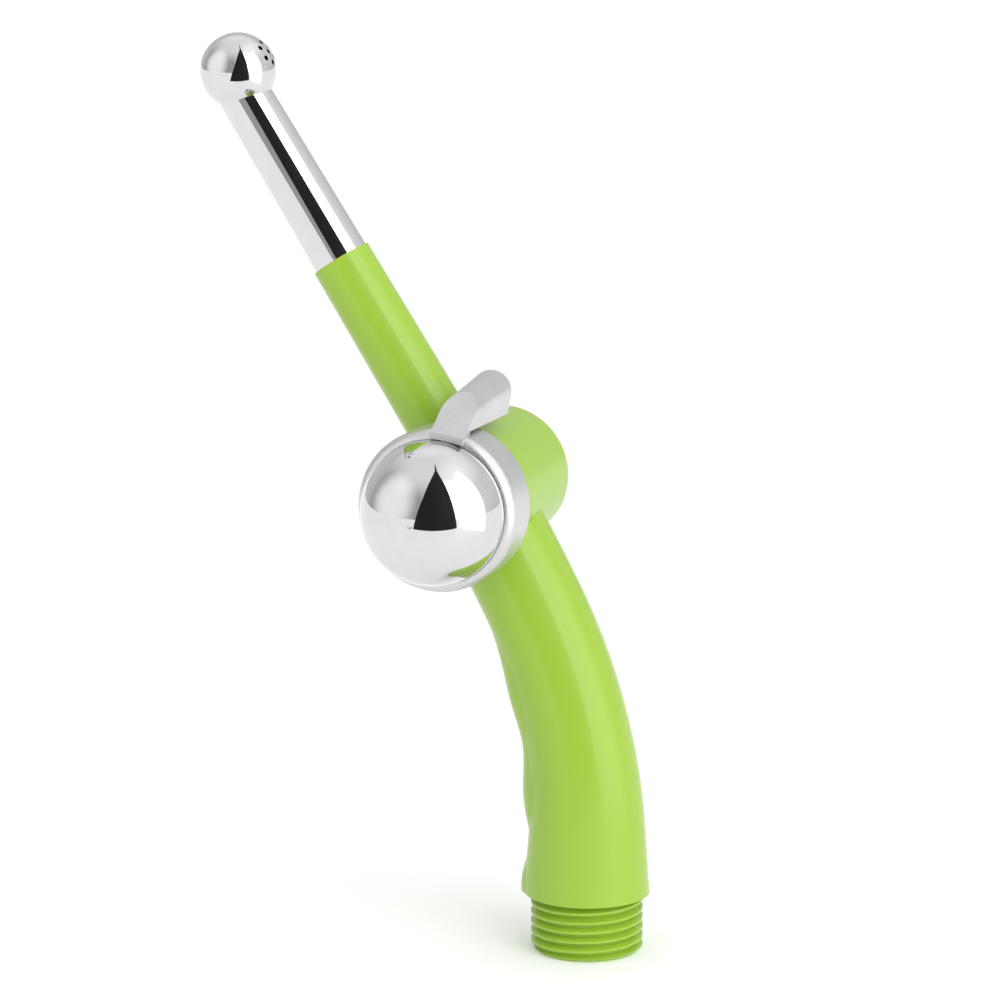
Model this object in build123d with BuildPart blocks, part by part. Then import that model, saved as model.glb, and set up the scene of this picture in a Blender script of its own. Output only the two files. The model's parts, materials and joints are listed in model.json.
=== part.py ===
"""Short hand spray wand with a quarter-turn thumb lever, built from its separate pieces.

Frame, in millimetres: the origin is the centre of the threaded inlet's end face, +Z runs up the
inlet's axis, and the valve barrel lies along Y with its lever knob on the -Y side. The spray arm
leans towards -X and the ball sprays towards +X.
"""

import os
from math import cos, pi, radians, sin, tan

from build123d import *

# ---- driving dimensions ---------------------------------------------------------------------
# inlet: a G1/2 parallel pipe thread
THREAD_R = 20.955 / 2
THREAD_PITCH = 1.814
THREAD_DEPTH = 1.162
THREAD_FLANK = 27.5
THREAD_ROOT = 0.15
THREAD_LENGTH = 11.0
THREAD_LEAD_IN = 0.95
INLET_BORE_R = 6.4
SPIGOT_R = 8.6
SPIGOT_TOP = 23.0
SPIGOT_RING_Z = 16.0
SCREEN_Z = 5.2
STRAINER_HEIGHT = 1.2
STRAINER_LIP = 0.9
SCREEN_R = 5.6
SCREEN_THICKNESS = 0.4
SCREEN_CELL, SCREEN_HOLE, SCREEN_ROWS = 0.62, 0.42, 7
SEAL_DEPTH = 1.2

# grip: a round bar on an upright line, an arc and a straight line that runs into the barrel
BARREL_X, BARREL_Z = -21.7, 86.65
GRIP_ARC_START = 21.6
GRIP_ARC_R = 97.0
GRIP_LEAN = 28.0
GRIP_BOTTOM_R = 11.75
GRIP_TOP_R = 9.36
GRIP_WAIST = 0.92
GRIP_LENGTH = 80.1
GRIP_WATERWAY_R = 6.4
GRIP_INTO_BARREL = 0.93
GRIP_SECTIONS = 8
PORT_R = 2.8
# finger ridges and hollows: length along the grip from the shoulder, and height over the bar
FINGER_LINE = [(0.0, 0.6), (4.0, 0.5), (9.5, -0.35), (15.5, 0.75), (21.0, 1.15), (29.7, 0.45),
               (39.0, 1.05), (47.0, 0.6), (58.0, -0.3)]
FINGER_HALF_WIDTH = 7.4
FINGER_ROUND = 6.6
FINGER_SPINE = 1.0

# valve barrel; distances along it are Y
BARREL_R = 12.83
BARREL_FRONT, BARREL_REAR = -16.5, 17.7
BARREL_REAR_ROUND = 1.6
NUT_R = 10.2
NUT_SEAT = -8.0
LINER_R, LINER_BORE_R = 9.0, 7.02
LINER_REAR = 12.0
LINER_RINGS = (-6.4, 7.6)
LINER_RING_SECTION = 1.3
PORT_SEAL_R = 4.0
PORT_SEAL_DEPTH = 8.0
SPOOL_R = 6.97
SPOOL_FRONT, SPOOL_REAR = -6.9, 10.5
SPOOL_PORT_R = 2.7
SPOOL_RINGS = (-5.4, 5.4)
STEM_R = 3.6
STEM_SQUARE = 5.0
STEM_ROUND_END, STEM_END = -14.8, -20.2
WASHER_FRONT, WASHER_REAR = -7.8, -7.0
NUT_REAR, NUT_FRONT = -7.85, -14.5
NUT_CHAMFER = 0.4
GLAND_Y = -11.0
KEY_R, KEY_LENGTH, KEY_ANGLE = 1.0, 3.0, 210
LINER_RING_DEPTH = 1.0
GLAND_DEPTH = 1.5
SPANNER_SLOT, SPANNER_SLOT_DEPTH, SPANNER_SLOT_ANGLE = 2.4, 2.0, 35
SPOOL_CHAMFER = 0.4
RING_SECTION = 1.9
RING_ROUND, LINER_RING_ROUND = 0.5, 0.35

# spray arm; distances along it run from the barrel's axis
ARM_LEAN = 32.3
SLEEVE_END = 49.3
SLEEVE_BASE_R, SLEEVE_END_R = 6.22, 5.74
TUBE_SHOULDER_R, TUBE_TIP_R = 5.35, 4.88
TUBE_SPIGOT_R = 4.1
TUBE_INNER_END = 27.0
TUBE_BORE_R = 2.6
TUBE_RINGS = (31.0, 35.0)
TUBE_RING_DEPTH = 0.9
TUBE_ENTRY = (0.5, 0.8)
BALL_R = 7.11
BALL_CAVITY_R = 4.4
BALL_DISTANCE = 88.85
BALL_OFFSET = 1.34
BALL_SEAT = 3.1
BALL_WASHER = 0.6
SPRAY_HOLE_R = 0.5
SPRAY_RING_ANGLE = 17.5
SPRAY_RING_COUNT = 6

# lever knob
KNOB_R = 15.0
KNOB_REAR, KNOB_FRONT = -14.7, -24.8
KNOB_LIP, KNOB_LIP_ROUND = 1.85, 2.6
WEB_REAR, WEB_FRONT = -18.2, -20.5
CAP_R = 13.35
CAP_WALL = 1.3
CAP_CENTRE = -24.6
LEVER_ANGLE = 10.5
LEVER_FRONT_TOP, LEVER_REAR_TOP = 20.3, 22.95
LEVER_FRONT_WIDTH, LEVER_REAR_WIDTH = 6.05, 7.7
LEVER_FRONT, LEVER_REAR = -26.0, -0.9
LEVER_UNDERSIDE = 15.5
LEVER_ROOT, LEVER_ROOT_FRONT, LEVER_ROOT_REAR = 13.6, -25.1, -21.5
LEVER_FACE_LEAN = 51.0
LEVER_FACE_FOOT = 14.76
LEVER_END_ROUND = 0.7
KNOB_BORE_R = 13.65
HUB_R, HUB_REAR = 5.2, -15.0
CAP_REAR, CAP_RING_Y = -21.4, -22.9
SCREW_R, SCREW_DEPTH = 1.25, 8.0
SCREW_HEAD_R, SCREW_HEAD, SCREW_HEAD_ROUND = 2.9, 2.0, 0.6
SCREW_KEY_R, SCREW_KEY_DEPTH = 1.45, 1.3
SCREW_WASHER, SCREW_WASHER_R = 0.8, 4.2
CAP_RING_WIDTH, CAP_RING_DEPTH = 1.0, 0.7
SQUARE_PLAY = 0.04
TRAVEL = 90.0
STOP_LUG_ANGLE = 26.0
STOP_PLAY = 4.0
STOP_INNER_R, STOP_OUTER_R = 6.7, 8.7

RUN = 0.06          # radial running clearance of the stem in the nut
GAP = 0.3           # free space between faces of the fixed and the turning body


# ---- planes and small helpers ---------------------------------------------------------------
def across_barrel(y):
    """Plane square to the barrel at Y = y, seen from the knob: local x is +X, local y is +Z."""
    return Plane(origin=(BARREL_X, y, BARREL_Z), x_dir=(1, 0, 0), z_dir=(0, -1, 0))


def barrel_section():
    """Plane through the barrel's axis: local x is the radius, local y is Y."""
    return Plane(origin=(BARREL_X, 0, BARREL_Z), x_dir=(1, 0, 0), z_dir=(0, 0, 1))


BARREL_AXIS = Axis((BARREL_X, 0, BARREL_Z), (0, 1, 0))
ARM_DIR = Vector(-sin(radians(ARM_LEAN)), 0, cos(radians(ARM_LEAN)))
SPRAY_DIR = Vector(cos(radians(ARM_LEAN)), 0, sin(radians(ARM_LEAN)))
GRIP_DIR = Vector(sin(radians(GRIP_LEAN)), 0, -cos(radians(GRIP_LEAN)))
BARREL_CENTRE = Vector(BARREL_X, 0, BARREL_Z)


def across_arm(distance):
    """Plane square to the spray arm: local x points the way the ball sprays."""
    return Plane(origin=BARREL_CENTRE + ARM_DIR * distance, x_dir=SPRAY_DIR, z_dir=ARM_DIR)


def across_grip(distance):
    """Plane square to the grip's straight top part, facing away from the barrel."""
    return Plane(origin=BARREL_CENTRE + GRIP_DIR * distance, x_dir=(0, 1, 0), z_dir=GRIP_DIR)


def grip_point(length):
    """Point and lean in degrees at a length along the grip, counted up from the shoulder."""
    straight = GRIP_ARC_START - THREAD_LENGTH
    arc = GRIP_ARC_R * radians(GRIP_LEAN)
    if length <= straight:
        return Vector(0, 0, THREAD_LENGTH + length), 0.0
    turned = min(length - straight, arc) / GRIP_ARC_R
    point = Vector(-GRIP_ARC_R * (1 - cos(turned)), 0, GRIP_ARC_START + GRIP_ARC_R * sin(turned))
    rest = max(0.0, length - straight - arc)
    point += Vector(-sin(turned), 0, cos(turned)) * rest
    return point, turned * 180 / pi


def grip_radius(length):
    """Radius of the round bar: wide at the shoulder, with a slight waist."""
    part = length / GRIP_LENGTH
    return GRIP_BOTTOM_R + (GRIP_TOP_R - GRIP_BOTTOM_R) * part - 4 * GRIP_WAIST * part * (1 - part)


def grip_plane(length):
    point, lean = grip_point(length)
    along = Vector(-sin(radians(lean)), 0, cos(radians(lean)))
    return Plane(origin=point, x_dir=(cos(radians(lean)), 0, sin(radians(lean))), z_dir=along)


def ring_sketch(plane, outer, inner):
    with BuildSketch(plane) as ring:
        Circle(outer)
        Circle(inner, mode=Mode.SUBTRACT)
    return ring.sketch


def sector_sketch(plane, inner, outer, start, size):
    """Part of a flat ring between two radii, from a start angle over a size in degrees."""
    with BuildSketch(plane) as sector:
        with BuildLine():
            out = CenterArc((0, 0), outer, start, size)
            back = CenterArc((0, 0), inner, start, size)
            Line(out @ 0, back @ 0)
            Line(out @ 1, back @ 1)
        make_face()
    return sector.sketch


def finish(builder, name):
    builder.part.label = name
    export_step(builder.part, f"parts/{name}.step")


os.makedirs("parts", exist_ok=True)

# ---- inlet: threaded spigot, its seal and its strainer --------------------------------------
with BuildPart() as inlet_spigot:
    with BuildSketch(Plane.XY):
        Circle(THREAD_R)
    extrude(amount=THREAD_LENGTH)
    with BuildSketch(Plane.XY.offset(THREAD_LENGTH)):
        Circle(SPIGOT_R)
    extrude(amount=SPIGOT_TOP - THREAD_LENGTH)
    with BuildSketch(Plane.XY):
        Circle(INLET_BORE_R)
    extrude(amount=SPIGOT_TOP, mode=Mode.SUBTRACT)
    # narrower above the strainer, which rests on the step
    with BuildSketch(Plane.XY.offset(SCREEN_Z + STRAINER_HEIGHT)):
        Circle(INLET_BORE_R)
        Circle(INLET_BORE_R - STRAINER_LIP, mode=Mode.SUBTRACT)
    extrude(amount=SPIGOT_TOP - SCREEN_Z - STRAINER_HEIGHT)
    # lead-in bevel at the end of the thread
    with BuildSketch(Plane.XZ):
        with BuildLine():
            Polyline((THREAD_R - THREAD_LEAD_IN, 0), (THREAD_R + 1, 0),
                     (THREAD_R + 1, THREAD_LEAD_IN + 1), close=True)
        make_face()
    revolve(axis=Axis.Z, mode=Mode.SUBTRACT)
    # seal groove
    with BuildSketch(Plane.XY.offset(SPIGOT_RING_Z)):
        Circle(SPIGOT_R + 0.5)
        Circle(SPIGOT_R - SEAL_DEPTH, mode=Mode.SUBTRACT)
    extrude(amount=RING_SECTION, mode=Mode.SUBTRACT)
    # the helical V groove
    root_r = THREAD_R - THREAD_DEPTH
    cut_r = THREAD_R + 0.3
    half_root = THREAD_ROOT / 2
    half_mouth = half_root + (cut_r - root_r) * tan(radians(THREAD_FLANK))
    with BuildLine() as groove_path:
        Helix(pitch=THREAD_PITCH, height=THREAD_LENGTH + 2.2 * THREAD_PITCH, radius=THREAD_R,
              center=(0, 0, -1.1 * THREAD_PITCH))
    start = groove_path.line @ 0
    with BuildSketch(Plane(origin=start, x_dir=(1, 0, 0), z_dir=(0, 1, 0))) as groove:
        with BuildLine():
            Polyline((root_r - THREAD_R, -half_root), (root_r - THREAD_R, half_root),
                     (cut_r - THREAD_R, half_mouth), (cut_r - THREAD_R, -half_mouth), close=True)
        make_face()
    sweep(path=groove_path.line, is_frenet=True, mode=Mode.SUBTRACT)
finish(inlet_spigot, "inlet_spigot")

with BuildPart() as spigot_o_ring:
    with BuildSketch(Plane.XZ):
        with Locations((SPIGOT_R - SEAL_DEPTH / 2, SPIGOT_RING_Z + RING_SECTION / 2)):
            RectangleRounded(SEAL_DEPTH, RING_SECTION, RING_ROUND)
    revolve(axis=Axis.Z)
finish(spigot_o_ring, "spigot_o_ring")

with BuildPart() as strainer_rim:
    with BuildSketch(Plane.XY.offset(SCREEN_Z)):
        Circle(INLET_BORE_R)
        Circle(SCREEN_R - SCREEN_THICKNESS, mode=Mode.SUBTRACT)
    extrude(amount=STRAINER_HEIGHT)
    with BuildSketch(Plane.XY.offset(SCREEN_Z + SCREEN_THICKNESS)):
        Circle(SCREEN_R)
    extrude(amount=SCREEN_THICKNESS, mode=Mode.SUBTRACT)
finish(strainer_rim, "strainer_rim")

with BuildPart() as strainer_screen:
    with BuildSketch(Plane.XY.offset(SCREEN_Z + SCREEN_THICKNESS)):
        Circle(SCREEN_R)
        with HexLocations(SCREEN_CELL, SCREEN_ROWS, SCREEN_ROWS):
            RegularPolygon(SCREEN_HOLE, 6, mode=Mode.SUBTRACT)
    extrude(amount=SCREEN_THICKNESS)
finish(strainer_screen, "strainer_screen")

# ---- handle: grip, valve barrel and arm sleeve in one moulding ------------------------------
with BuildPart() as finger_ridge:
    with BuildSketch(Plane.XZ):
        crest, spine = [], []
        for length, height in FINGER_LINE:
            across = grip_plane(length)
            crest.append(across.from_local_coords((-grip_radius(length) - height, 0, 0)))
            spine.append(across.from_local_coords((-FINGER_SPINE, 0, 0)))
        with BuildLine():
            outline = Spline([(point.X, point.Z) for point in crest])
            Polyline([outline @ 1] + [(point.X, point.Z) for point in reversed(spine)] + [outline @ 0])
        make_face()
    extrude(amount=FINGER_HALF_WIDTH, both=True)
    crest_edges = finger_ridge.edges().filter_by(GeomType.BSPLINE)
    fillet(crest_edges, FINGER_ROUND)

with BuildPart() as handle_body:
    with BuildSketch(across_barrel(BARREL_REAR)):
        Circle(BARREL_R)
    extrude(amount=BARREL_REAR - BARREL_FRONT)
    fillet(handle_body.edges().group_by(Axis.Y)[-1], BARREL_REAR_ROUND)
    # arm sleeve, drafted towards its mouth
    with BuildSketch(across_arm(0)):
        Circle(SLEEVE_BASE_R)
    with BuildSketch(across_arm(SLEEVE_END)):
        Circle(SLEEVE_END_R)
    loft()
    # grip
    for step in range(GRIP_SECTIONS + 1):
        length = GRIP_LENGTH * GRIP_INTO_BARREL * step / GRIP_SECTIONS
        with BuildSketch(grip_plane(length)):
            Circle(grip_radius(length))
    loft()
    add(finger_ridge.part)
    # inlet socket and the waterway up the grip
    with BuildSketch(Plane.XY.offset(THREAD_LENGTH)):
        Circle(SPIGOT_R)
    extrude(amount=SPIGOT_TOP - THREAD_LENGTH + 0.2, mode=Mode.SUBTRACT)
    with BuildLine(Plane.XZ) as waterway:
        bend = JernArc((0, GRIP_ARC_START), (0, 1), GRIP_ARC_R, GRIP_LEAN)
        port_mouth = BARREL_CENTRE + GRIP_DIR * (BARREL_R + 1.5)
        Line(bend @ 1, (port_mouth.X, port_mouth.Z))
    with BuildSketch(Plane.XY.offset(GRIP_ARC_START)):
        Circle(GRIP_WATERWAY_R)
    sweep(path=waterway.line, mode=Mode.SUBTRACT)
    with BuildSketch(across_grip(0)):
        Circle(PORT_R)
    extrude(amount=BARREL_R + 2, mode=Mode.SUBTRACT)
    # valve chamber and the nut's seat
    with BuildSketch(across_barrel(LINER_REAR)):
        Circle(LINER_R)
    extrude(amount=LINER_REAR - BARREL_FRONT, mode=Mode.SUBTRACT)
    with BuildSketch(across_barrel(NUT_SEAT)):
        Circle(NUT_R)
    extrude(amount=NUT_SEAT - BARREL_FRONT, mode=Mode.SUBTRACT)
    with BuildSketch(across_barrel(LINER_REAR)):
        with PolarLocations(LINER_R, 1, start_angle=KEY_ANGLE):
            Circle(KEY_R)
    extrude(amount=KEY_LENGTH, mode=Mode.SUBTRACT)
    # arm socket and the waterway to it
    with BuildSketch(across_arm(0)):
        Circle(PORT_R)
    extrude(amount=TUBE_INNER_END, mode=Mode.SUBTRACT)
    with BuildSketch(across_arm(TUBE_INNER_END)):
        Circle(TUBE_SPIGOT_R)
    extrude(amount=SLEEVE_END - TUBE_INNER_END, mode=Mode.SUBTRACT)
finish(handle_body, "handle_body")

# ---- valve: liner and seals held in the barrel by the nut ------------------------------------
PORT_PLANES = [across_arm(0), across_grip(0)]

with BuildPart() as valve_liner:
    with BuildSketch(across_barrel(LINER_REAR)):
        Circle(LINER_R)
        Circle(LINER_BORE_R, mode=Mode.SUBTRACT)
    extrude(amount=LINER_REAR - NUT_SEAT)
    for middle in LINER_RINGS:
        ring = ring_sketch(across_barrel(middle + LINER_RING_SECTION / 2), LINER_R + 1,
                           LINER_R - LINER_RING_DEPTH)
        extrude(ring, amount=LINER_RING_SECTION, mode=Mode.SUBTRACT)
    for plane in PORT_PLANES:
        for radius, depth in ((PORT_R, LINER_R + 1), (PORT_SEAL_R, PORT_SEAL_DEPTH)):
            with BuildSketch(plane):
                Circle(radius)
            extrude(amount=depth, mode=Mode.SUBTRACT)
    with BuildSketch(across_barrel(LINER_REAR)):
        with PolarLocations(LINER_R, 1, start_angle=KEY_ANGLE):
            Circle(KEY_R)
    extrude(amount=KEY_LENGTH, mode=Mode.SUBTRACT)
finish(valve_liner, "valve_liner")

with BuildPart() as liner_key:
    with BuildSketch(across_barrel(LINER_REAR)):
        with PolarLocations(LINER_R, 1, start_angle=KEY_ANGLE):
            Circle(KEY_R)
    extrude(amount=KEY_LENGTH)
finish(liner_key, "liner_key")

with BuildPart() as liner_o_rings:
    for middle in LINER_RINGS:
        with BuildSketch(barrel_section()):
            with Locations((LINER_R - LINER_RING_DEPTH / 2, middle)):
                RectangleRounded(LINER_RING_DEPTH, LINER_RING_SECTION, LINER_RING_ROUND)
    revolve(axis=BARREL_AXIS)
finish(liner_o_rings, "liner_o_rings")

with BuildPart() as port_seals:
    for plane in PORT_PLANES:
        extrude(ring_sketch(plane, PORT_SEAL_R, PORT_R), amount=PORT_SEAL_DEPTH)
    with BuildSketch(across_barrel(LINER_REAR)):
        Circle(LINER_BORE_R)
    extrude(amount=LINER_REAR - NUT_SEAT, mode=Mode.SUBTRACT)
finish(port_seals, "port_seals")

with BuildPart() as thrust_washer:
    extrude(ring_sketch(across_barrel(WASHER_REAR), SPOOL_R - 0.1, STEM_R + 0.1),
            amount=WASHER_REAR - WASHER_FRONT)
finish(thrust_washer, "thrust_washer")

with BuildPart() as retaining_nut:
    with BuildSketch(across_barrel(NUT_SEAT)):
        Circle(NUT_R)
    extrude(amount=NUT_SEAT - NUT_FRONT)
    chamfer(retaining_nut.edges().group_by(Axis.Y)[0], NUT_CHAMFER)
    with BuildSketch(across_barrel(NUT_REAR)):
        Circle(SPOOL_R - 0.1)
    extrude(amount=NUT_REAR - NUT_SEAT)
    # fixed stop for the lever's quarter turn
    free = TRAVEL + STOP_LUG_ANGLE + STOP_PLAY
    free_start = 90 - LEVER_ANGLE + STOP_LUG_ANGLE / 2 + STOP_PLAY / 2
    extrude(sector_sketch(across_barrel(NUT_FRONT), STOP_INNER_R, STOP_OUTER_R, free_start, 360 - free),
            amount=NUT_FRONT - WEB_REAR - GAP)
    # bore, gland groove and two spanner slots
    with BuildSketch(across_barrel(NUT_REAR)):
        Circle(STEM_R + RUN)
    extrude(amount=NUT_REAR - NUT_FRONT, mode=Mode.SUBTRACT)
    with BuildSketch(across_barrel(GLAND_Y + RING_SECTION / 2)):
        Circle(STEM_R + GLAND_DEPTH)
    extrude(amount=RING_SECTION, mode=Mode.SUBTRACT)
    with BuildSketch(across_barrel(NUT_FRONT)):
        with PolarLocations(NUT_R, 2, start_angle=SPANNER_SLOT_ANGLE):
            Rectangle(SPANNER_SLOT, SPANNER_SLOT)
    extrude(amount=-SPANNER_SLOT_DEPTH, mode=Mode.SUBTRACT)
finish(retaining_nut, "retaining_nut")

with BuildPart() as gland_o_ring:
    with BuildSketch(barrel_section()):
        with Locations((STEM_R + (RUN + GLAND_DEPTH) / 2, GLAND_Y)):
            RectangleRounded(GLAND_DEPTH - RUN, RING_SECTION, RING_ROUND)
    revolve(axis=BARREL_AXIS)
finish(gland_o_ring, "gland_o_ring")

# ---- turning valve spool ----------------------------------------------------------------------
with BuildPart() as valve_spool:
    with BuildSketch(across_barrel(SPOOL_REAR)):
        Circle(SPOOL_R)
    extrude(amount=SPOOL_REAR - SPOOL_FRONT)
    chamfer(valve_spool.edges().group_by(Axis.Y)[-1], SPOOL_CHAMFER)
    with BuildSketch(across_barrel(SPOOL_FRONT)):
        Circle(STEM_R)
    extrude(amount=SPOOL_FRONT - STEM_ROUND_END)
    with BuildSketch(across_barrel(STEM_ROUND_END)):
        Rectangle(STEM_SQUARE, STEM_SQUARE)
    extrude(amount=STEM_ROUND_END - STEM_END)
    for middle in SPOOL_RINGS:
        ring = ring_sketch(across_barrel(middle + RING_SECTION / 2), SPOOL_R + 1,
                           SPOOL_R - SEAL_DEPTH)
        extrude(ring, amount=RING_SECTION, mode=Mode.SUBTRACT)
    # cross port, square to the flow while the valve is shut
    flow_angle = (90 + ARM_LEAN + 90 + GRIP_LEAN) / 2
    port_angle = radians(flow_angle + TRAVEL)
    with BuildSketch(Plane(origin=BARREL_CENTRE, z_dir=(cos(port_angle), 0, sin(port_angle)))):
        Circle(SPOOL_PORT_R)
    extrude(amount=SPOOL_R + 1, both=True, mode=Mode.SUBTRACT)
    with BuildSketch(across_barrel(STEM_END)):
        Circle(SCREW_R)
    extrude(amount=-SCREW_DEPTH, mode=Mode.SUBTRACT)
finish(valve_spool, "valve_spool")

with BuildPart() as spool_o_rings:
    for middle in SPOOL_RINGS:
        with BuildSketch(barrel_section()):
            with Locations((SPOOL_R - SEAL_DEPTH / 2, middle)):
                RectangleRounded(SEAL_DEPTH, RING_SECTION, RING_ROUND)
    revolve(axis=BARREL_AXIS)
finish(spool_o_rings, "spool_o_rings")

# ---- lever knob, its screw and its dome -------------------------------------------------------
def across_lever(y):
    """Plane square to the barrel at Y = y, with local y pointing up the lever."""
    angle = radians(LEVER_ANGLE)
    return Plane(origin=(BARREL_X, y, BARREL_Z), x_dir=(cos(angle), 0, -sin(angle)), z_dir=(0, -1, 0))


def lever_section(y, width, top):
    """Straight sides from the underside up to a half-round top."""
    with BuildSketch(across_lever(y)) as section:
        with BuildLine():
            shoulder = top - width / 2
            Polyline((-width / 2, shoulder), (-width / 2, LEVER_UNDERSIDE),
                     (width / 2, LEVER_UNDERSIDE), (width / 2, shoulder))
            ThreePointArc((width / 2, shoulder), (0, top), (-width / 2, shoulder))
        make_face()
    return section.sketch


with BuildPart() as lever_bar:
    loft([lever_section(LEVER_FRONT, LEVER_FRONT_WIDTH, LEVER_FRONT_TOP),
          lever_section(LEVER_REAR, LEVER_REAR_WIDTH, LEVER_REAR_TOP)])
    fillet(lever_bar.edges().group_by(Axis.Y)[-1], LEVER_END_ROUND)
    with BuildSketch(across_lever(LEVER_ROOT_REAR)):
        with Locations((0, (LEVER_UNDERSIDE + LEVER_ROOT) / 2)):
            Rectangle(LEVER_FRONT_WIDTH + 0.2, LEVER_UNDERSIDE - LEVER_ROOT + 0.4)
    extrude(amount=LEVER_ROOT_REAR - LEVER_ROOT_FRONT)
    # sloping thumb face at the front
    lean = radians(LEVER_FACE_LEAN)
    up = across_lever(0).y_dir
    face_normal = up * sin(lean) + Vector(0, -1, 0) * cos(lean)
    face_foot = BARREL_CENTRE + up * LEVER_FACE_FOOT + Vector(0, LEVER_ROOT_FRONT + 0.2, 0)
    split(bisect_by=Plane(origin=face_foot, z_dir=face_normal), keep=Keep.BOTTOM)

with BuildPart() as knob_lever:
    with BuildSketch(barrel_section()):
        with BuildLine():
            Polyline((KNOB_BORE_R, KNOB_REAR), (KNOB_R, KNOB_REAR), (KNOB_R, KNOB_FRONT + KNOB_LIP))
            RadiusArc((KNOB_R, KNOB_FRONT + KNOB_LIP), (CAP_R + 0.05, KNOB_FRONT), KNOB_LIP_ROUND)
            Polyline((CAP_R + 0.05, KNOB_FRONT), (CAP_R + 0.05, WEB_FRONT), (0, WEB_FRONT), (0, HUB_REAR), (HUB_R, HUB_REAR),
                     (HUB_R, WEB_REAR), (KNOB_BORE_R, WEB_REAR), (KNOB_BORE_R, KNOB_REAR))
        make_face()
    revolve(axis=BARREL_AXIS)
    add(lever_bar.part)
    with BuildSketch(across_barrel(HUB_REAR)):
        Rectangle(STEM_SQUARE + SQUARE_PLAY, STEM_SQUARE + SQUARE_PLAY)
    extrude(amount=HUB_REAR - WEB_FRONT, mode=Mode.SUBTRACT)
    # lug that meets the nut's stop at the end of the quarter turn
    extrude(sector_sketch(across_barrel(NUT_FRONT - GAP), STOP_INNER_R + 0.2, STOP_OUTER_R - 0.2,
                          90 - LEVER_ANGLE - STOP_LUG_ANGLE / 2, STOP_LUG_ANGLE),
            amount=NUT_FRONT - GAP - WEB_REAR)
finish(knob_lever, "knob_lever")

with BuildPart() as knob_screw_washer:
    extrude(ring_sketch(across_barrel(WEB_FRONT), SCREW_WASHER_R, SCREW_R + 0.15), amount=SCREW_WASHER)
finish(knob_screw_washer, "knob_screw_washer")

with BuildPart() as knob_screw:
    with BuildSketch(across_barrel(WEB_FRONT - SCREW_WASHER)):
        Circle(SCREW_HEAD_R)
    extrude(amount=SCREW_HEAD)
    fillet(knob_screw.edges().group_by(Axis.Y)[0], SCREW_HEAD_ROUND)
    with BuildSketch(across_barrel(WEB_FRONT - SCREW_WASHER - SCREW_HEAD)):
        RegularPolygon(SCREW_KEY_R, 6)
    extrude(amount=-SCREW_KEY_DEPTH, mode=Mode.SUBTRACT)
    with BuildSketch(across_barrel(WEB_FRONT - SCREW_WASHER)):
        Circle(SCREW_R)
    extrude(amount=-(SCREW_DEPTH - 0.5))
finish(knob_screw, "knob_screw")

with BuildPart() as knob_cap:
    with BuildSketch(barrel_section()):
        with BuildLine():
            inner_r = CAP_R - CAP_WALL
            Line((inner_r, CAP_REAR), (CAP_R, CAP_REAR))
            Line((CAP_R, CAP_REAR), (CAP_R, CAP_CENTRE))
            RadiusArc((CAP_R, CAP_CENTRE), (0, CAP_CENTRE - CAP_R), CAP_R)
            Line((0, CAP_CENTRE - CAP_R), (0, CAP_CENTRE - inner_r))
            RadiusArc((inner_r, CAP_CENTRE), (0, CAP_CENTRE - inner_r), inner_r)
            Line((inner_r, CAP_CENTRE), (inner_r, CAP_REAR))
        make_face()
    revolve(axis=BARREL_AXIS)
    ring = ring_sketch(across_barrel(CAP_RING_Y + CAP_RING_WIDTH / 2), CAP_R + 1, CAP_R - CAP_RING_DEPTH)
    extrude(ring, amount=CAP_RING_WIDTH, mode=Mode.SUBTRACT)
finish(knob_cap, "knob_cap")

with BuildPart() as cap_o_ring:
    with BuildSketch(barrel_section()):
        with Locations((CAP_R - 0.325, CAP_RING_Y)):
            RectangleRounded(0.75, CAP_RING_WIDTH, 0.3)
    revolve(axis=BARREL_AXIS)
finish(cap_o_ring, "cap_o_ring")

# ---- spray arm: plated tube and ball head -----------------------------------------------------
arm_section = Plane(origin=BARREL_CENTRE, x_dir=SPRAY_DIR, z_dir=(0, -1, 0))
arm_axis = Axis(BARREL_CENTRE, ARM_DIR)
tube_end = BALL_DISTANCE - BALL_SEAT

with BuildPart() as spray_tube:
    with BuildSketch(arm_section):
        with BuildLine():
            Polyline((TUBE_BORE_R, TUBE_INNER_END), (TUBE_SPIGOT_R - TUBE_ENTRY[0], TUBE_INNER_END),
                     (TUBE_SPIGOT_R, TUBE_INNER_END + TUBE_ENTRY[1]), (TUBE_SPIGOT_R, SLEEVE_END),
                     (TUBE_SHOULDER_R, SLEEVE_END), (TUBE_TIP_R, tube_end),
                     (TUBE_SPIGOT_R, tube_end), (TUBE_SPIGOT_R, tube_end - BALL_WASHER),
                     (TUBE_BORE_R, tube_end - BALL_WASHER), close=True)
        make_face()
    revolve(axis=arm_axis)
    for distance in TUBE_RINGS:
        ring = ring_sketch(across_arm(distance), TUBE_SPIGOT_R + 0.5, TUBE_SPIGOT_R - TUBE_RING_DEPTH)
        extrude(ring, amount=RING_SECTION, mode=Mode.SUBTRACT)
finish(spray_tube, "spray_tube")

with BuildPart() as tube_o_rings:
    for distance in TUBE_RINGS:
        with BuildSketch(arm_section):
            with Locations((TUBE_SPIGOT_R - TUBE_RING_DEPTH / 2, distance + RING_SECTION / 2)):
                RectangleRounded(TUBE_RING_DEPTH, RING_SECTION, 0.4)
    revolve(axis=arm_axis)
finish(tube_o_rings, "tube_o_rings")

with BuildPart() as ball_washer:
    extrude(ring_sketch(across_arm(tube_end - BALL_WASHER), TUBE_SPIGOT_R, TUBE_BORE_R + 0.2),
            amount=BALL_WASHER)
finish(ball_washer, "ball_washer")

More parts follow.
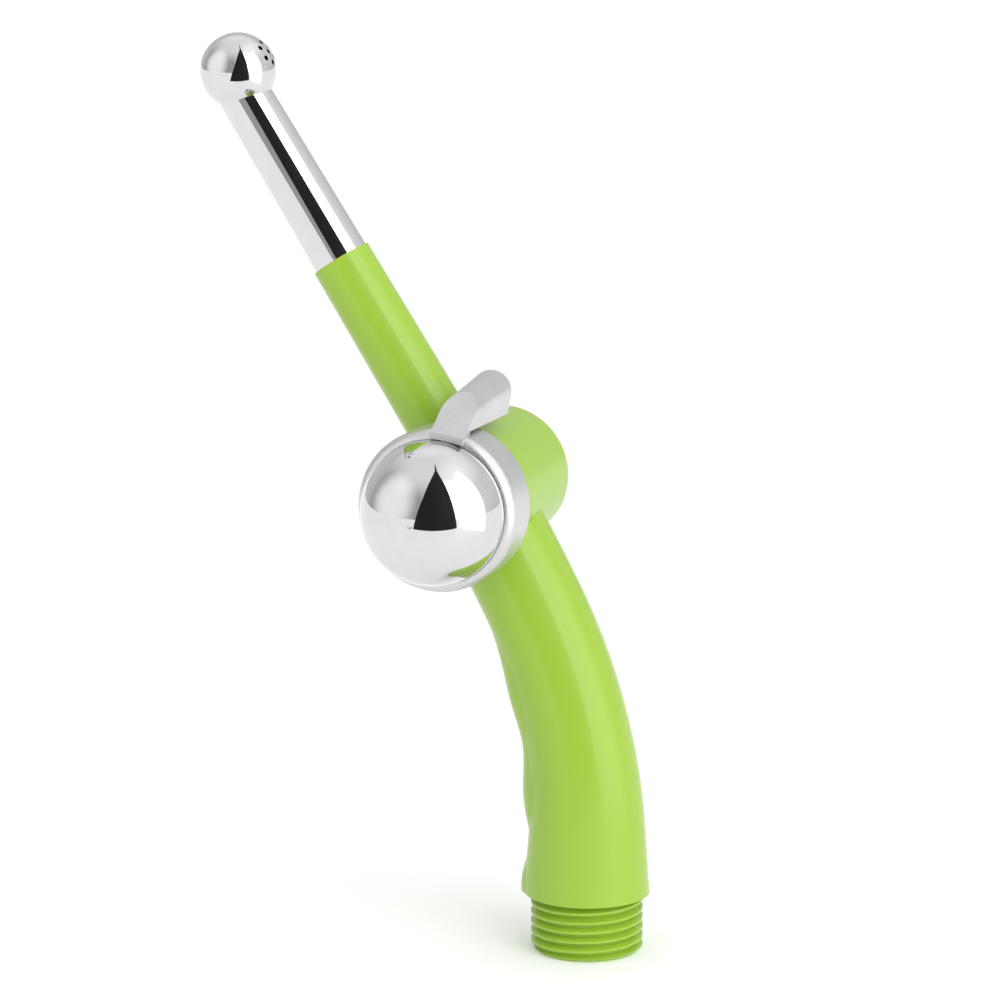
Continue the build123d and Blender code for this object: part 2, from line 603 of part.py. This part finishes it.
with BuildPart() as spray_ball:
    ball_centre = BARREL_CENTRE + ARM_DIR * BALL_DISTANCE + SPRAY_DIR * BALL_OFFSET
    with Locations(ball_centre):
        Sphere(BALL_R)
        Sphere(BALL_CAVITY_R, mode=Mode.SUBTRACT)
    # seat on the tapered tube
    with BuildSketch(across_arm(SLEEVE_END)):
        Circle(TUBE_SHOULDER_R)
    with BuildSketch(across_arm(tube_end)):
        Circle(TUBE_TIP_R)
    loft(mode=Mode.SUBTRACT)
    # one spray hole on the aim line and a ring of holes around it, all square to the ball
    ring_tilt = radians(SPRAY_RING_ANGLE)
    aims = [SPRAY_DIR]
    for hole in range(SPRAY_RING_COUNT):
        turn = 2 * pi * hole / SPRAY_RING_COUNT
        sideways = ARM_DIR * cos(turn) + Vector(0, 1, 0) * sin(turn)
        aims.append(SPRAY_DIR * cos(ring_tilt) + sideways * sin(ring_tilt))
    for aim in aims:
        with BuildSketch(Plane(origin=ball_centre, z_dir=aim)):
            Circle(SPRAY_HOLE_R)
        extrude(amount=BALL_R + 1, mode=Mode.SUBTRACT)
finish(spray_ball, "spray_ball")
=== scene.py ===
"""Looks for the short hand spray wand: materials, camera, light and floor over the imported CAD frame.

Lengths are in metres. Noise scales are in cycles per metre. Directions round the wand are given as a
turn from the camera's side, positive to the right, and a height over the horizon.
"""
import json
import math

import bpy
from mathutils import Matrix, Vector

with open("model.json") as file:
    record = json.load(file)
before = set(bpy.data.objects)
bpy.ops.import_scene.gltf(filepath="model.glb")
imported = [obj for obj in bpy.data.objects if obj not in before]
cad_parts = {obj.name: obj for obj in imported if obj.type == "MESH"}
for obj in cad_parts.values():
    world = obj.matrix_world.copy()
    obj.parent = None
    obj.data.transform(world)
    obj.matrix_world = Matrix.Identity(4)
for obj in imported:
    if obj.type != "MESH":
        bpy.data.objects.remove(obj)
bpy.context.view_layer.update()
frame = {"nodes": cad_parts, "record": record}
nodes = frame["nodes"]
scene = bpy.context.scene


# ---- camera ---------------------------------------------------------------------------------
AZIMUTH, ELEVATION = math.radians(17.856), math.radians(11.313)
EYE = Vector((0.21157, -0.70961, 0.23361))
SENSOR_MM, LENS_MM = 36, 147.6827
NEAR_CLIP, FAR_CLIP = 0.02, 20

RIGHT = Vector((math.cos(AZIMUTH), math.sin(AZIMUTH), 0))
FRONT = Vector((math.sin(AZIMUTH), -math.cos(AZIMUTH), 0))     # level, from the wand to the camera's side
BACK = FRONT * math.cos(ELEVATION) + Vector((0, 0, math.sin(ELEVATION)))     # against the view
UP = BACK.cross(RIGHT)

camera_data = bpy.data.cameras.new("camera")
camera_data.sensor_width = SENSOR_MM
camera_data.lens = LENS_MM
camera_data.clip_start = NEAR_CLIP
camera_data.clip_end = FAR_CLIP
camera = bpy.data.objects.new("camera", camera_data)
scene.collection.objects.link(camera)
camera.matrix_world = Matrix.Translation(EYE) @ Matrix((RIGHT, UP, BACK)).transposed().to_4x4()
scene.camera = camera


# ---- material helpers -----------------------------------------------------------------------
class Shader:
    """Small builder for one node material."""

    def __init__(self, name):
        self.material = bpy.data.materials.new(name)
        self.material.use_nodes = True
        self.tree = self.material.node_tree
        self.bsdf = self.tree.nodes["Principled BSDF"]
        self.coord = self.tree.nodes.new("ShaderNodeTexCoord").outputs["Object"]

    def fill(self, socket, value):
        """Links an output to a socket, or sets the socket to a plain value."""
        if isinstance(value, bpy.types.NodeSocket):
            self.tree.links.new(value, socket)
        else:
            socket.default_value = value

    def node(self, kind, **inputs):
        made = self.tree.nodes.new(kind)
        for key, value in inputs.items():
            self.fill(made.inputs[key.replace("_", " ")], value)
        return made

    def link(self, output, socket):
        self.tree.links.new(output, self.bsdf.inputs[socket])

    def set(self, **values):
        for key, value in values.items():
            self.bsdf.inputs[key.replace("_", " ")].default_value = value

    def noise(self, scale, detail=2.0, roughness=0.5, stretch=(1, 1, 1)):
        """Noise that can be stretched: a stretch under 1 draws it out along that axis."""
        mapping = self.node("ShaderNodeMapping", Vector=self.coord, Scale=stretch)
        return self.node("ShaderNodeTexNoise", Vector=mapping.outputs[0], Scale=scale, Detail=detail,
                         Roughness=roughness).outputs["Fac"]

    def span(self, value, start, end, low=0.0, high=1.0):
        """Maps a value from start..end to low..high."""
        return self.node("ShaderNodeMapRange", Value=value, From_Min=start, From_Max=end,
                         To_Min=low, To_Max=high).outputs[0]

    def mix(self, factor, low, high):
        """Blends two colours."""
        made = self.tree.nodes.new("ShaderNodeMix")
        made.data_type = "RGBA"
        factor_socket, low_socket, high_socket = made.inputs[0], made.inputs[6], made.inputs[7]
        self.fill(factor_socket, factor)
        self.fill(low_socket, low)
        self.fill(high_socket, high)
        return made.outputs[2]

    def bump(self, height, distance, strength, below=None):
        """Bump over an optional coarser or finer one."""
        made = self.node("ShaderNodeBump", Height=height, Distance=distance, Strength=strength)
        if below is not None:
            self.tree.links.new(below, made.inputs["Normal"])
        return made.outputs[0]


def rgb(red, green, blue):
    return (red, green, blue, 1.0)


# ---- materials ------------------------------------------------------------------------------
LIME, LIME_DEEP = rgb(0.282, 0.458, 0.036), rgb(0.277, 0.452, 0.034)
CHROME, CHROME_CLEAR = rgb(0.655, 0.655, 0.67), rgb(0.70, 0.70, 0.712)
SATIN_DARK, SATIN, SATIN_SPECK = rgb(0.58, 0.58, 0.59), rgb(0.63, 0.63, 0.64), rgb(0.71, 0.71, 0.72)
RUBBER, RUBBER_BLOOM = rgb(0.012, 0.012, 0.013), rgb(0.035, 0.035, 0.037)
ACETAL_CLOUD, ACETAL = rgb(0.74, 0.74, 0.70), rgb(0.84, 0.84, 0.81)
BRASS_STAIN, BRASS = rgb(0.60, 0.40, 0.13), rgb(0.78, 0.58, 0.26)
STEEL_STAIN, STEEL = rgb(0.52, 0.52, 0.53), rgb(0.66, 0.66, 0.67)


def moulded_plastic(name, colour, deep):
    """Satin injection-moulded plastic: a faint flow variation, soft gloss patches and fine orange peel."""
    made = Shader(name)
    flow = made.noise(scale=38, stretch=(1, 1, 0.45))
    made.link(made.mix(made.span(flow, 0.35, 0.7), deep, colour), "Base Color")
    gloss = made.noise(scale=60, detail=1.0, roughness=0.55)
    made.link(made.span(gloss, 0.3, 0.7, low=0.228, high=0.258), "Roughness")
    peel = made.bump(made.noise(scale=1300, detail=1.0, roughness=0.4), distance=0.0000008, strength=0.4)
    sink = made.noise(scale=70, detail=1.0, roughness=0.4)
    made.link(made.bump(sink, distance=0.000008, strength=0.4, below=peel), "Normal")
    made.set(IOR=1.5, Specular_IOR_Level=0.5)
    return made.material


def plated_chrome(name):
    """Chrome plate over plastic: slight haze patches, wiping hairlines and a long soft waviness."""
    made = Shader(name)
    haze = made.noise(scale=260, detail=4.0, roughness=0.6)
    made.link(made.mix(made.span(haze, 0.3, 0.75), CHROME, CHROME_CLEAR), "Base Color")
    made.link(made.span(haze, 0.35, 0.8, low=0.018, high=0.048), "Roughness")
    hairlines = made.noise(scale=2600, roughness=0.7, stretch=(1, 1, 0.12))
    lines = made.bump(hairlines, distance=0.0000004, strength=0.5)
    wave = made.noise(scale=48, roughness=0.4)
    made.link(made.bump(wave, distance=0.000012, strength=0.6, below=lines), "Normal")
    made.set(Metallic=1.0)
    return made.material


def satin_plate(name):
    """Blasted, then plated knob: a fine matt grain under a soft metal sheen."""
    made = Shader(name)
    speck = made.noise(scale=3000, roughness=0.6)
    cloud = made.noise(scale=130, detail=3.0)
    tone = made.mix(made.span(cloud, 0.3, 0.7), SATIN_DARK, SATIN)
    made.link(made.mix(made.span(speck, 0.4, 0.7, high=0.55), tone, SATIN_SPECK), "Base Color")
    made.link(made.span(speck, 0.3, 0.7, low=0.30, high=0.44), "Roughness")
    made.link(made.bump(speck, distance=0.000006, strength=0.6), "Normal")
    made.set(Metallic=1.0)
    return made.material


def turned_metal(name, stain_colour, colour, roughness):
    """Turned or rolled metal with fine tool rings along the barrel's axis and small stains."""
    made = Shader(name)
    rings = made.noise(scale=3000, stretch=(0.02, 1, 0.02))
    stain = made.noise(scale=420, detail=4.0, roughness=0.6)
    made.link(made.mix(made.span(stain, 0.3, 0.75), stain_colour, colour), "Base Color")
    made.link(made.span(rings, 0.3, 0.7, low=roughness, high=roughness + 0.14), "Roughness")
    made.link(made.bump(rings, distance=0.000004, strength=0.7), "Normal")
    made.set(Metallic=1.0)
    return made.material


def moulded_rubber(name):
    """Black seal rubber with a faint bloom and a fine cast grain."""
    made = Shader(name)
    bloom = made.noise(scale=600, detail=4.0, roughness=0.6)
    made.link(made.mix(made.span(bloom, 0.35, 0.8), RUBBER, RUBBER_BLOOM), "Base Color")
    made.link(made.span(bloom, 0.3, 0.7, low=0.42, high=0.62), "Roughness")
    grain = made.noise(scale=3500, roughness=0.55)
    made.link(made.bump(grain, distance=0.000008, strength=0.5), "Normal")
    made.set(Specular_IOR_Level=0.4)
    return made.material


def engineering_plastic(name):
    """White acetal with a slight waxy cloudiness and machining marks."""
    made = Shader(name)
    cloud = made.noise(scale=240, detail=3.0)
    made.link(made.mix(made.span(cloud, 0.3, 0.7), ACETAL_CLOUD, ACETAL), "Base Color")
    made.link(made.span(cloud, 0.3, 0.7, low=0.33, high=0.46), "Roughness")
    marks = made.noise(scale=2400, stretch=(0.1, 1, 0.1))
    made.link(made.bump(marks, distance=0.000003, strength=0.5), "Normal")
    made.set(Subsurface_Weight=0.1, Subsurface_Scale=0.001)
    return made.material


LOOKS = {
    "lime_body": moulded_plastic("lime_body", LIME, LIME_DEEP),
    "polished_chrome": plated_chrome("polished_chrome"),
    "satin_chrome": satin_plate("satin_chrome"),
    "seal_rubber": moulded_rubber("seal_rubber"),
    "white_acetal": engineering_plastic("white_acetal"),
    "brass": turned_metal("brass", BRASS_STAIN, BRASS, roughness=0.22),
    "steel": turned_metal("steel", STEEL_STAIN, STEEL, roughness=0.2),
}
for part in frame["record"]["subparts"]:
    mesh = nodes[part["node"]].data
    mesh.materials.clear()
    mesh.materials.append(LOOKS[part["material_slot"]])


# ---- studio: a soft white tent over a pale floor ----------------------------------------------
def stage_mesh(name, points, faces, material):
    mesh = bpy.data.meshes.new(name)
    mesh.from_pydata(points, [], faces)
    mesh.materials.append(material)
    made = bpy.data.objects.new(name, mesh)
    scene.collection.objects.link(made)
    return made


def plain(name, level, roughness, glow=0.0):
    """Plain grey surface with a barely uneven tone, which can glow."""
    made = Shader(name)
    colour, shade = rgb(level, level, level), rgb(*[level * SHADE] * 3)
    made.link(made.mix(made.noise(scale=6, roughness=0.55), colour, shade), "Base Color")
    made.set(Roughness=roughness)
    if glow:
        made.set(Emission_Color=colour, Emission_Strength=glow)
    return made.material


def reflected_only(panel):
    """Keeps a panel out of the picture, the shadows and the soft light: only gloss and polish show it."""
    panel.visible_camera = False
    panel.visible_shadow = False
    panel.visible_diffuse = False


SHADE = 0.985
FLOOR_REACH = 9
corners = [(x * FLOOR_REACH, y * FLOOR_REACH, 0) for x, y in ((-1, -1), (1, -1), (1, 1), (-1, 1))]
stage_mesh("floor", corners, [(0, 1, 2, 3)], plain("floor", 0.88, roughness=0.7, glow=0.13))

# the dark gap in the tent's front: a panel square to the view that tapers upwards
TENT_CENTRE = Vector((-0.022, 0, 0.09))
GAP_DISTANCE = 0.29
# each row: height, left edge and right edge, from the tent's centre
GAP = ((-0.150, -0.180, 0.205), (0.10, -0.085, 0.135), (0.30, -0.040, 0.090),
       (0.46, -0.010, 0.062), (0.62, 0.012, 0.046), (1.5, 0.018, 0.040))
gap_points = [TENT_CENTRE + BACK * GAP_DISTANCE + RIGHT * side + UP * height
              for height, *sides in GAP for side in sides]
gap_faces = [(2 * row, 2 * row + 1, 2 * row + 3, 2 * row + 2) for row in range(len(GAP) - 1)]
reflected_only(stage_mesh("tent_gap", gap_points, gap_faces, plain("tent_gap", 0.004, roughness=0.9)))

# the tent's lit side wall on the right, level with the view from near the camera's side to the wand
WALL_SIDE = 0.235
WALL_FRONT, WALL_BACK = 0.31, 0.04
WALL_FOOT, WALL_TOP = -0.09, 0.45
wall_points = [TENT_CENTRE + RIGHT * WALL_SIDE + FRONT * near + Vector((0, 0, height))
               for near, height in ((WALL_FRONT, WALL_FOOT), (WALL_BACK, WALL_FOOT),
                                    (WALL_BACK, WALL_TOP), (WALL_FRONT, WALL_TOP))]
wall_look = plain("tent_wall", 1.0, roughness=0.9, glow=1.35)
reflected_only(stage_mesh("tent_wall", wall_points, [(0, 1, 2, 3)], wall_look))

# soft light of the tent: an even base with wide, smooth lobes
BASE_LIGHT = 0.42
# each lobe: turn in degrees, height in radians, cosines where it starts and is full, and strength
LOBES = (
    (32, 0.42, 0.78, 0.99, 2.9),
    (74, 0.40, 0.35, 0.97, 0.46),
    (-72, 0.28, 0.70, 0.98, 0.74),
    (180, 0.10, 0.30, 0.75, 0.24),
    (0, math.pi / 2, 0.45, 0.95, 0.54),
)
world = bpy.data.worlds.new("studio")
scene.world = world
world.use_nodes = True
tree = world.node_tree
background = tree.nodes["Background"]
direction = tree.nodes.new("ShaderNodeTexCoord").outputs["Generated"]


def lobe_light(turn, height, start, full, strength):
    """Smooth patch of light round one direction of the surroundings."""
    angle = AZIMUTH + math.radians(turn)
    towards = (math.sin(angle) * math.cos(height), -math.cos(angle) * math.cos(height), math.sin(height))
    nearness = tree.nodes.new("ShaderNodeVectorMath")
    nearness.operation = "DOT_PRODUCT"
    nearness.inputs[1].default_value = towards
    tree.links.new(direction, nearness.inputs[0])
    patch = tree.nodes.new("ShaderNodeMapRange")
    patch.interpolation_type = "SMOOTHSTEP"
    for key, number in (("From Min", start), ("From Max", full), ("To Min", 0.0), ("To Max", strength)):
        patch.inputs[key].default_value = number
    tree.links.new(nearness.outputs["Value"], patch.inputs["Value"])
    return patch.outputs[0]


total = tree.nodes.new("ShaderNodeValue").outputs[0]
total.default_value = BASE_LIGHT
for lobe in LOBES:
    add = tree.nodes.new("ShaderNodeMath")
    add.operation = "ADD"
    tree.links.new(lobe_light(*lobe), add.inputs[0])
    tree.links.new(total, add.inputs[1])
    total = add.outputs[0]
tree.links.new(total, background.inputs["Strength"])
background.inputs["Color"].default_value = rgb(1.0, 1.0, 1.0)
scene.view_settings.view_transform = "Standard"
scene.view_settings.look = "None"
